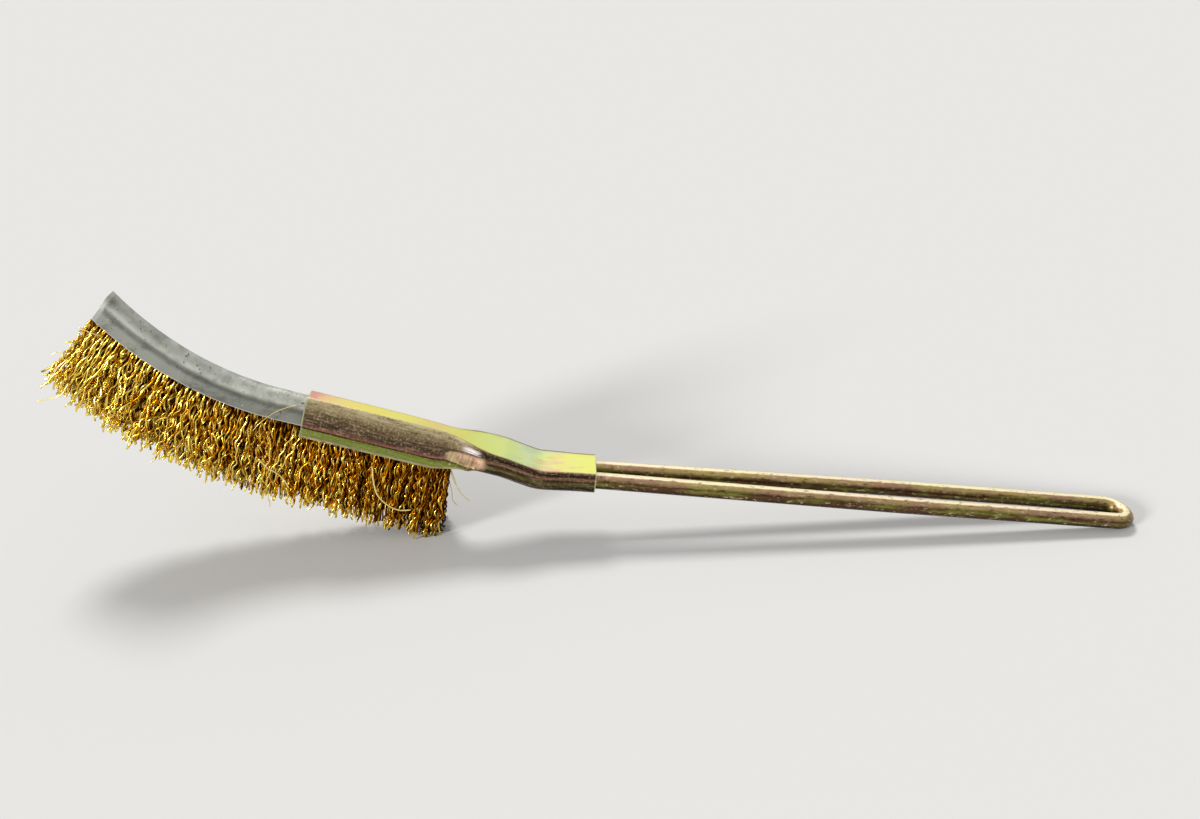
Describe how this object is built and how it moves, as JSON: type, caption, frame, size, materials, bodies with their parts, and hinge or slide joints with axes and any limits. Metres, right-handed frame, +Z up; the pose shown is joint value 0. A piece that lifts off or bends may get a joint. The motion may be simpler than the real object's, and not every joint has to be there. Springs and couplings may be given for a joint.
{
  "type": "curved brass wire brush",
  "caption": "Hand brush with a hairpin wire handle, a folded sleeve and an upswept strip of crimped brass bristles, for scrubbing tips clean.",
  "frame": {"origin": "centre of the bounding box, on the surface that the brush stands on", "axes": "+X from the bristles to the loop of the handle, +Y across the brush, +Z up; the brush stands on its handle loop and the heel of its bristles"},
  "size_m": [0.1918, 0.0088, 0.0465],
  "materials": {
    "passivated_wire": "round steel wire, zinc plated and yellow passivated, satin",
    "passivated_sheet": "folded steel sheet, zinc plated and yellow passivated, with the greens, pinks and violets of that finish",
    "galvanised_sheet": "galvanised sheet steel, matt light grey with fine dark specks",
    "core_steel": "bright drawn steel wire",
    "brass_filament": "crimped brass filaments, bright on their crests and dark between"
  },
  "bodies": {
    "root": {"handle_wire": "passivated_wire", "clamp_sleeve": "passivated_sheet", "strip_channel": "galvanised_sheet", "core_wire": "core_steel", "bristles_01": "brass_filament", "bristles_02": "brass_filament", "bristles_03": "brass_filament", "bristles_04": "brass_filament", "bristles_05": "brass_filament", "bristles_06": "brass_filament", "bristles_07": "brass_filament", "bristles_08": "brass_filament", "bristles_09": "brass_filament", "bristles_10": "brass_filament"}
  },
  "joints": []
}
